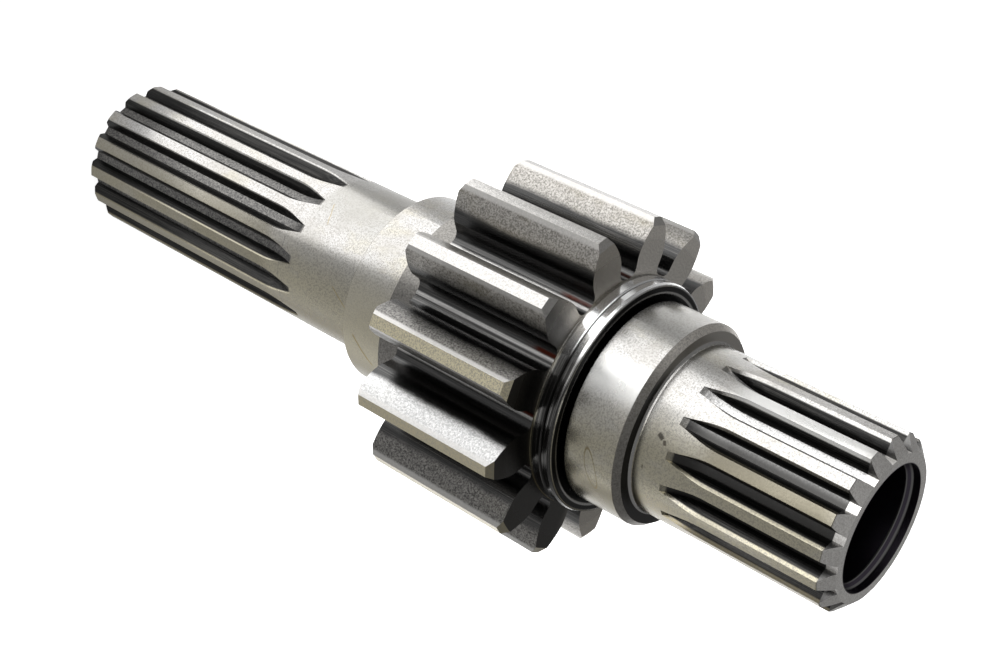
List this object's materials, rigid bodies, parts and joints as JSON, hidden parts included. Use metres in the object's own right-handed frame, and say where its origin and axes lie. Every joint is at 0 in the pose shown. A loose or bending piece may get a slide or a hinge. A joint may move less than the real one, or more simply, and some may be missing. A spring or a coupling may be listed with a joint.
{
  "type": "splined pinion shaft",
  "caption": "Solid-ended steel drive shaft with an integral spur pinion, ground bearing seats and an external spline at each end, bored at one end",
  "frame": {"origin": "centre of the flat face of the solid end, on the shaft's axis, where the standing shaft meets the floor", "axes": "+Z along the shaft's axis towards the bored end; +X through the middle of one pinion tooth; +Y completes a right-handed frame"},
  "size_m": [0.0838, 0.0844, 0.241],
  "materials": {
    "brushed_steel": "ground seats, hobbed teeth, light oil film"
  },
  "bodies": {
    "root": {"pinion_shaft": "brushed_steel"}
  },
  "joints": []
}
